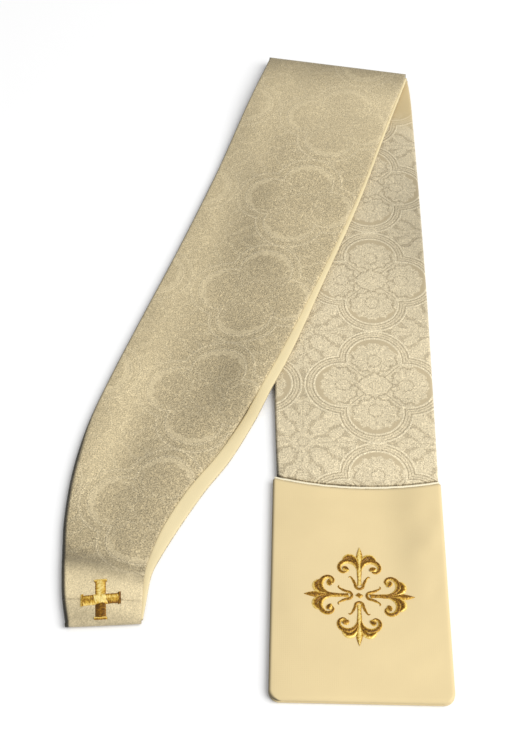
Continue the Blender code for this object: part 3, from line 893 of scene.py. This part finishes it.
def layer_ring(section, lift=0.0, ceiling=math.inf):
    """The hidden layers' outline in one section: tucked in under the upper half's turned edge, with
    the lower half's rounded edges below it."""
    inset = BROCADE_WALL + GAP
    wide = section.width + (section.band or 0.0)

    def edge(place, side, shelf, base):
        radius = (shelf - base) / 2
        turns = [math.pi / 2 - math.pi * k / 6 for k in range(7)]
        arc = [(radius * math.cos(a) - radius, radius + radius * math.sin(a)) for a in turns]
        return [(place + side * out, base + up) for out, up in arc]

    shelf = section.base(wide) + (LOWER_LAYER if section.band is None else BAND_BED)
    inner = [(section.width - inset, shelf), *edge(wide, 1, shelf, section.base(wide) + lift)]
    under = [(x, section.base(x) + lift) for x in climb_offsets(section, wide)]
    shelf = section.base(0) + LOWER_LAYER
    outer = [*reversed(edge(0, -1, shelf, section.base(0) + lift)), (inset, shelf)]
    ring = (*section.profile(inset=inset), *inner, *under, *outer)
    return [section.foot(x) + UP * min(h, ceiling) for x, h in ring]


def climb_offsets(section, wide):
    """Where the underside starts and stops climbing on to the right run, from the inner side."""
    first, last = 3.0, wide - 3.0
    if not section.climbs:
        return [last, first]
    start = past_right_run_edge(section.foot(0))
    rate = (past_right_run_edge(section.foot(section.width)) - start) / section.width
    top, foot = (min(max((place - start) / rate, first), last) for place in (RAMP_TOP, RAMP_FOOT))
    return [top + 0.1, foot]


def layers(name, rings, lean, cloth, slot_name, node_name):
    """Hidden layers through rings of points, with painted shade on the left of each ring, where they
    show at the left edge.
    """
    cuts = [cut_places(ring, lean) for ring in rings]
    sheens = []
    for ring in rings:
        left, right = min(point.x for point in ring), max(point.x for point in ring)
        shaded = (right - left) * 0.06
        sheens.append([0.25 + 0.75 * smoothstep((point.x - left) / shaded) for point in ring])
    return loft(name, rings, cuts, cloth, slot_name, [node_name], sheens)


# The hidden layers' rounded end: how far it reaches past the fold's axis, and half its height there
NOSE = ((1.4, 3.0), (0.7, 3.4))


def left_run_layers():
    top = left_section(LEFT_TOP)
    rings = [layer_ring(top.moved(UPWARD * reach), ceiling=TOP_FOLD_RADIUS + half) for reach, half in NOSE]
    tuck_start = LEFT_END - TUCK
    rings += [layer_ring(left_section(down)) for down in steps(LEFT_TOP, tuck_start - 3, 5)]
    lifted = steps(tuck_start - 2.5, LEFT_END, 4)
    rings += [layer_ring(left_section(down), lift=BROCADE_WALL + GAP) for down in lifted]
    return layers("left_run_inside", rings, LEFT_LEAN, LEFT_BROCADE, "brocade", "left_run_layers")


def right_run_layers():
    top = right_section(RIGHT_TOP)
    rings = []
    for reach, half in NOSE:
        rings.append(layer_ring(top.moved(UPWARD * reach), lift=TOP_FOLD_RADIUS - half - GAP))
    past_tuck = RIGHT_TOP + TUCK + 1
    lifted = steps(RIGHT_TOP, past_tuck, 5)
    rings += [layer_ring(right_section(down), lift=BROCADE_WALL + GAP) for down in lifted]
    rings += [layer_ring(right_section(down)) for down in steps(past_tuck + 0.5, RIGHT_END - GAP, 5)]
    return layers("right_run_inside", rings, RIGHT_LEAN, RIGHT_BROCADE, "brocade", "right_run_layers")


def half_b_leg():
    downs = steps(RIGHT_TOP, RIGHT_END - 3.6, RUN_STEP)
    nose = right_section(RIGHT_TOP).moved(UPWARD * NOSE[0][0])
    rows, cuts = run_rows([nose, *map(right_section, downs)])
    sheens = sheen_for(cuts, right_sheen)
    # near the top fold the figure is painted out, as lost in the light, and turns to the plain colour
    bares = [[1 - smoothstep((down - 60) / 42) for across, down in row] for row in cuts]
    nodes = ["half_b_leg"]
    piece = cloth_wall("half_b_cloth", rows, cuts, sheens, RIGHT_BROCADE, "brocade", nodes, bares=bares)
    declare(rows)
    return piece


# The end panel


def panel_top_edge(across):
    share = (across - PANEL_LEFT) / (PANEL_RIGHT - PANEL_LEFT)
    left, right, sag = RIGHT_ROWS[-1][0], RIGHT_ROWS[-1][2], RIGHT_ROWS[-1][4]
    return left + (right - left) * share + sag * 4 * share * (1 - share)


def panel_half_width(up_from_bottom):
    half = (PANEL_RIGHT - PANEL_LEFT) / 2
    short = max(PANEL_CORNER - up_from_bottom, 0.0)
    return half - PANEL_CORNER + math.sqrt(PANEL_CORNER**2 - short**2)


def turned_edge(distance):
    short = max(PANEL_ROLL - distance, 0.0)
    return PANEL_ROLL - math.sqrt(PANEL_ROLL**2 - short**2)


PANEL_MIDDLE = (PANEL_LEFT + PANEL_RIGHT) / 2
PANEL_DRAWN = 178  # the height its rows are set out to, before those above STRETCH_FROM meet the top edge
STRETCH_FROM = 120


def panel_top(down, across):
    """The height of the panel's cloth, with its creases and its turned edges."""
    up = PANEL_BOTTOM - down
    half = panel_half_width(max(up, 0.0))
    inside = half - abs(across - PANEL_MIDDLE)
    edge = min(inside, up, down - panel_top_edge(across) + 4)
    drop = max(turned_edge(max(inside, 0.0)), turned_edge(max(up, 0.0)))
    uneven = creased(PANEL_CREASES, down, across) + slack(down, across, 21) * 0.8
    return PANEL_HEIGHT - drop + uneven * smoothstep(edge / 12)


def half_b_end_panel():
    edge_steps = [PANEL_ROLL * (1 - math.cos(math.pi / 2 * k / 6)) for k in range(7)]
    turned = edge_steps[:-1]
    ups = steps(PANEL_DRAWN, PANEL_CORNER, 2.2)
    ups += [*steps(PANEL_CORNER, PANEL_ROLL, 1.0)[1:], *reversed(turned)]
    rows, cuts = [], []
    for up in ups:
        half = panel_half_width(up)
        flat = steps(edge_steps[-1] - half, half - edge_steps[-1], 2.4)
        row, cut = [], []
        for offset in [*(e - half for e in turned), *even(flat, 54), *(half - e for e in reversed(turned))]:
            across = PANEL_MIDDLE + offset
            down = PANEL_BOTTOM - up
            share = min(max((up - STRETCH_FROM) / (PANEL_DRAWN - STRETCH_FROM), 0.0), 1.0)
            down += (panel_top_edge(across) - (PANEL_BOTTOM - PANEL_DRAWN)) * share
            row.append(on_table(down, across, RIGHT_LEAN) + UP * panel_top(down, across))
            cut.append((across, down))
        rows.append(row)
        cuts.append(cut)
    sheens = sheen_for(cuts, panel_sheen, math.inf)
    nodes = ["half_b_end_panel"]
    piece = cloth_wall("end_panel_cloth", rows, cuts, sheens, PANEL_CLOTH, "plain_cloth", nodes)
    declare(rows)
    return piece


def even(values, count):
    """The same span in a set number of equal steps."""
    return [values[0] + (values[-1] - values[0]) * k / count for k in range(count + 1)]


def panel_outline(inset):
    """The end panel's outline, that far in from its edge, but with its top edge kept."""
    corner_turns = [math.radians(a) for a in range(0, 91, 10)]
    radius = PANEL_CORNER - inset
    left, right = PANEL_LEFT + PANEL_CORNER, PANEL_RIGHT - PANEL_CORNER
    floor = PANEL_BOTTOM - PANEL_CORNER
    places = [(left - radius * math.cos(a), floor + radius * math.sin(a)) for a in corner_turns]
    places += [(right + radius * math.sin(a), floor + radius * math.cos(a)) for a in corner_turns]
    along_top = even((PANEL_RIGHT - inset, PANEL_LEFT + inset), 40)
    places += [(across, panel_top_edge(across)) for across in along_top]
    return [on_table(down, across, RIGHT_LEAN) for across, down in places]


def panel_layers():
    """The panel's filling: (height, how far in) up its rounded side to a narrower step."""
    inset = BROCADE_WALL + 0.7
    levels = ((0, 0.9), (0.25, 0.4), (0.9, 0), (2.3, 0), (2.9, 0.3), (3.2, 0.9), (3.2, inset), (4.4, inset))
    rings = [[point + UP * height for point in panel_outline(edge)] for height, edge in levels]
    return layers("end_panel_inside", rings, RIGHT_LEAN, PANEL_CLOTH, "plain_cloth", "panel_layers")


PIPING_RADIUS = 0.85


def panel_piping():
    rings, cuts = [], []
    turns = [2 * math.pi * k / 12 for k in range(12)]
    onward = frame_of(RIGHT_LEAN)[0]
    for across in steps(PANEL_LEFT + 1.2, PANEL_RIGHT - 1.2, 0.9):
        distance = min(across - PANEL_LEFT, PANEL_RIGHT - across)
        height = PANEL_HEIGHT - 0.5 - turned_edge(distance)
        wander = 0.25 * noise.noise(Vector((across * 0.15, 0, 5)))
        middle = on_table(panel_top_edge(across) - 1.3 + wander, across, RIGHT_LEAN) + UP * height
        rings.append([middle + (onward * math.cos(a) + UP * math.sin(a)) * PIPING_RADIUS for a in turns])
        cuts.append([(across, a * PIPING_RADIUS) for a in turns])
    return loft("panel_cord", rings, cuts, PIPING_CLOTH, "piping", ["panel_piping"])


# Satin stitching

THREAD = 0.26  # across a satin stitch
STITCH_SEGMENTS = 8

# The painted light across a band of stitches, from one edge to the other
SHADED_ROUND = (0.80, 0.62, 0.22, 0.14, 0.20, 0.36, 0.62, 0.88, 0.92)
SHADED_ABOVE = (0.30, 0.18, 0.14, 0.16, 0.26, 0.50, 0.78, 0.92, 0.85)
BRIGHT_MIDDLE = (0.30, 0.48, 0.70, 0.88, 0.95, 0.88, 0.66, 0.44, 0.26)
DULL = (0.60, 0.45, 0.28, 0.20, 0.24, 0.34, 0.50, 0.66, 0.75)


class Band:
    """A padded band of satin stitches along a smooth route of (across, out, half width)."""

    def __init__(self, route, height, tones, mirrored=False):
        side = -1 if mirrored else 1
        self.places = [Vector((side * across, out)) for across, out, half in route]
        self.widths = [half for across, out, half in route]
        self.height = height
        self.tones = tones[::-1] if mirrored else tones
        self.reach = [0.0]
        for a, b in zip(self.places, self.places[1:]):
            self.reach.append(self.reach[-1] + (b - a).length)

    def at(self, along):
        axes = ([place[i] for place in self.places] for i in range(2))
        return Vector([smooth_through(self.reach, values, along) for values in axes])

    def stitch(self, bm, lie):
        """Adds the band: two rows of points for each thread, one proud and one sunk."""
        end = self.reach[-1]
        rows = 2 * max(3, round(end / THREAD))
        made = bmesh.ops.create_grid(bm, x_segments=STITCH_SEGMENTS, y_segments=rows, size=1)["verts"]
        shine = bm.verts.layers.float["shine"]
        uv = bm.loops.layers.uv.verify()
        cuts = {}
        for i, vert in enumerate(made):
            row, column = divmod(i, STITCH_SEGMENTS + 1)
            along = end * row / rows
            side = 2 * column / STITCH_SEGMENTS - 1
            ahead = (self.at(min(along + 0.2, end)) - self.at(max(along - 0.2, 0))).normalized()
            aside = Vector((ahead.y, -ahead.x))
            half = max(smooth_through(self.reach, self.widths, along), 0.12)
            uneven = 0.16 * noise.noise(Vector((along * 3.1, side, self.height * 7)))
            place = self.at(along) + aside * side * (half + uneven * abs(side)) + ahead * 0.25 * side * half
            dome = math.sqrt(max(1 - side * side, 0.0))
            padding = self.height * min(1.0, 0.45 + half / 3.2) + (0.12 if row % 2 else 0.0)
            vert.co = lie(place, (padding + 0.25) * dome - 0.25)
            # painted light: the band's tone across it, a little uneven, with painted shade on the sunk rows
            patch = 0.16 * noise.noise(Vector((along * 0.5, self.height * 5, side)))
            vert[shine] = self.tones[column] + patch - (0.0 if row % 2 else 0.14)
            cuts[vert] = (side, along)
        for face in {f for v in made for f in v.link_faces}:
            for loop in face.loops:
                loop[uv].uv = cuts[loop.vert]


# One arm of the large cross, out from its centre: (across, out, half width) along each band
LEAF = ((0, 25, 0.6), (0, 28.5, 1.7), (0, 33, 2.7), (0, 37, 1.9), (0, 41.5, 0.2))
UPPER_LEAF = (
    (0.9, 24.5, 0.6), (2.0, 28.8, 1.5), (4.6, 32.4, 2.3), (8.0, 33.4, 2.4), (10.8, 31.9, 1.9),
    (12.4, 30.2, 0.7),
)
VOLUTE = (
    (0.9, 18.5, 0.5), (1.8, 24.0, 1.2), (4.8, 28.0, 1.9), (9.2, 29.2, 2.2), (13.2, 27.6, 2.1),
    (15.2, 24.4, 1.8), (14.6, 21.2, 1.5), (12.2, 19.6, 1.2), (9.8, 20.4, 0.8),
)
VOLUTE_END = ((7.9, 21.4, 1.0), (9.4, 22.0, 2.5), (11.2, 22.7, 2.7), (12.6, 23.2, 1.4))
STEM = ((0, 26.0, 0.8), (0, 21, 2.0), (0, 14, 1.6), (0, 8.2, 1.9))
CALYX = (
    (3.9, 13.2, 0.4), (3.3, 9.8, 1.2), (2.3, 6.8, 1.3), (0, 5.6, 1.2), (-2.3, 6.8, 1.3),
    (-3.3, 9.8, 1.2), (-3.9, 13.2, 0.4),
)
TENDRIL = ((3.6, 9.2, 0.5), (4.4, 11.8, 1.0), (5.4, 14.2, 0.9), (6.9, 15.8, 0.7), (8.2, 15.2, 0.3))
CENTRE = ((-2.8, 0, 0.3), (-1.2, 0, 1.6), (0, 0, 2.6), (1.2, 0, 1.6), (2.8, 0, 0.3))


def on_panel(place, height, turn):
    """A point of the large cross on the panel, its place turned about the cross's middle."""
    angle = math.radians(turn)
    x = place.x * math.cos(angle) + place.y * math.sin(angle)
    y = -place.x * math.sin(angle) + place.y * math.cos(angle)
    down, across = CROSS_DOWN - y * CROSS_DRAWN_IN, CROSS_ACROSS + x * CROSS_DRAWN_IN
    return on_table(down, across, RIGHT_LEAN) + UP * (panel_top(down, across) + height)


def stitching(name, bands, lie, node_name):
    bm = bmesh.new()
    bm.verts.layers.float.new("shine")
    for band in bands:
        band.stitch(bm, lie)
    name_cut(as_piece(name, bm, GOLD, "gold_thread", [node_name], closed=False))


def large_cross():
    for name, quarter in (("top", 0), ("right", 90), ("bottom", 180), ("left", 270)):
        turn = quarter - CROSS_TURN
        upright = BRIGHT_MIDDLE if quarter in (0, 180) else DULL  # the painted light on its straight bands
        bands = [Band(STEM, 0.9, upright), Band(CALYX, 0.8, DULL), Band(LEAF, 1.1, upright)]
        for mirrored in (False, True):
            # the sides that face up the panel, away from the light, get the painted brown shade
            bands.append(Band(VOLUTE, 1.0, SHADED_ROUND, mirrored))
            bands.append(Band(VOLUTE_END, 1.1, SHADED_ROUND, mirrored))
            bands.append(Band(UPPER_LEAF, 0.95, SHADED_ABOVE[::-1], mirrored))
            bands.append(Band(TENDRIL, 0.6, DULL, mirrored))
        stitching(f"cross_{name}_arm", bands, partial(on_panel, turn=turn), "large_cross_" + name)
    centre = [Band(CENTRE, 1.1, DULL)]
    stitching("cross_centre", centre, partial(on_panel, turn=-CROSS_TURN), "large_cross_centre")


def neck_cross(below):
    """A small cross of satin bars, laid on the cloth on both sides of the neck seam."""
    surfaces = []
    for piece in below:
        bm = bmesh.new()
        bm.from_mesh(piece.data)
        surfaces.append(BVHTree.FromBMesh(bm))
        bm.free()
    middle = on_table(*NECK_CROSS_MIDDLE, LEFT_LEAN)
    along, sideways = frame_of(LEFT_LEAN - NECK_CROSS_TURN)

    def lie(place, height):
        point = middle + sideways * place.x - along * place.y
        above = Vector((point.x, point.y, 50)) * MM
        hits = [surface.ray_cast(above, -UP)[0] for surface in surfaces]
        return Vector((point.x, point.y, max(hit.z for hit in hits if hit is not None) / MM + height))

    def bar(x, y, tones, height=0.8, half=4.3):
        """An arm from near the middle to (x, y)."""
        return Band(((x * 0.22, y * 0.22, half), (x * 0.6, y * 0.6, half), (x, y, half)), height, tones)

    def cap(x, y, tones):
        """A narrow bar across the end of an arm."""
        end, reach = Vector((x, y)), Vector((y, x)).normalized() * 4.7
        a, b = end + reach, end - reach
        return Band(((a.x, a.y, 1.2), (x, y, 1.3), (b.x, b.y, 1.2)), 1.0, tones)

    long, wide = 14.4, 13.6
    middle_route = ((-4.4, 0, 4.3), (0, 0, 4.5), (4.4, 0, 4.3))
    # each band's tones are the painted light and shade across it, from one edge to the other
    bands = [
        bar(0, long, (0.15, 0.45, 0.75, 0.88, 0.95, 0.85, 0.80, 0.50, 0.15)),
        bar(0, -long, (0.45, 0.22, 0.10, 0.12, 0.30, 0.18, 0.10, 0.14, 0.20)),
        bar(-wide, 0, (0.75, 0.85, 0.60, 0.45, 0.40, 0.50, 0.62, 0.40, 0.20)),
        bar(wide, 0, (0.15, 0.35, 0.70, 0.75, 0.55, 0.60, 0.45, 0.22, 0.12)),
        Band(middle_route, 1.05, (0.45, 0.80, 0.95, 1.0, 1.0, 1.0, 0.95, 0.7, 0.3)),
        cap(0, long, (0.25, 0.30, 0.45, 0.60, 0.80, 0.90, 0.85, 0.70, 0.50)),
        cap(0, -long, (0.20, 0.50, 0.70, 0.80, 0.75, 0.60, 0.40, 0.30, 0.30)),
        cap(-wide, 0, (0.70, 0.85, 0.80, 0.60, 0.50, 0.40, 0.35, 0.30, 0.25)),
        cap(wide, 0, (0.08, 0.08, 0.12, 0.18, 0.22, 0.15, 0.10, 0.06, 0.05)),
    ]
    stitching("neck_cross_stitching", bands, lie, "neck_cross")


# Floor, light and camera, in metres where not said otherwise

FLOOR_HALF, FLOOR_DROP = 2.5, 0.0006


def floor():
    bm = bmesh.new()
    bmesh.ops.create_grid(bm, x_segments=1, y_segments=1, size=FLOOR_HALF)
    bmesh.ops.translate(bm, vec=(0, 0, -FLOOR_DROP), verts=bm.verts)
    mesh = bpy.data.meshes.new("floor")
    bm.to_mesh(mesh)
    bm.free()
    made = bpy.data.objects.new("floor", mesh)
    bpy.context.collection.objects.link(made)
    white = bpy.data.materials.new("white paper")
    white.use_nodes = True
    shader = white.node_tree.nodes["Principled BSDF"]
    shader.inputs["Base Color"].default_value = (0.93, 0.93, 0.93, 1)
    shader.inputs["Roughness"].default_value = 0.9
    shader.inputs["Specular IOR Level"].default_value = 0.1
    mesh.materials.append(white)


def area_light(name, place, size, power):
    """A square lamp that faces the middle of the table."""
    lamp = bpy.data.lights.new(name, "AREA")
    lamp.size, lamp.energy = size, power
    made = bpy.data.objects.new(name, lamp)
    made.location = place
    made.rotation_euler = (-Vector(place)).to_track_quat("-Z", "Y").to_euler()
    bpy.context.collection.objects.link(made)


def studio():
    world = bpy.data.worlds.new("studio")
    world.use_nodes = True
    glow = world.node_tree.nodes["Background"]
    glow.inputs["Color"].default_value = (1, 1, 1, 1)
    glow.inputs["Strength"].default_value = 0.58
    bpy.context.scene.world = world
    area_light("main light", (2.2, -1.0, 2.8), 3.0, 126)
    bpy.context.scene.view_settings.view_transform = "Standard"


# The camera's place, in millimetres from the middle of the top fold
CAMERA_LEFT, CAMERA_NEARER, CAMERA_HEIGHT = 75, 1065.7, 875
CAMERA_TILT = 37.9  # degrees up from looking straight down
SENSOR_HEIGHT, FOCAL_LENGTH = 36, 64.27


def camera():
    lens = bpy.data.cameras.new("camera")
    lens.sensor_fit = "VERTICAL"
    lens.sensor_height = SENSOR_HEIGHT
    lens.lens = FOCAL_LENGTH
    made = bpy.data.objects.new("camera", lens)
    made.location = (FOLD_MIDDLE - Vector((CAMERA_LEFT, CAMERA_NEARER, -CAMERA_HEIGHT))) * MM
    made.rotation_euler = (math.radians(CAMERA_TILT), 0, 0)
    bpy.context.collection.objects.link(made)
    bpy.context.scene.camera = made


camera()
studio()
floor()
upper = half_a_brocade()
neck = half_b_neck()
half_b_lining()
left_run_layers()
half_b_leg()
right_run_layers()
half_b_end_panel()
panel_layers()
panel_piping()
large_cross()
neck_cross((upper, neck))

bpy.context.view_layer.update()
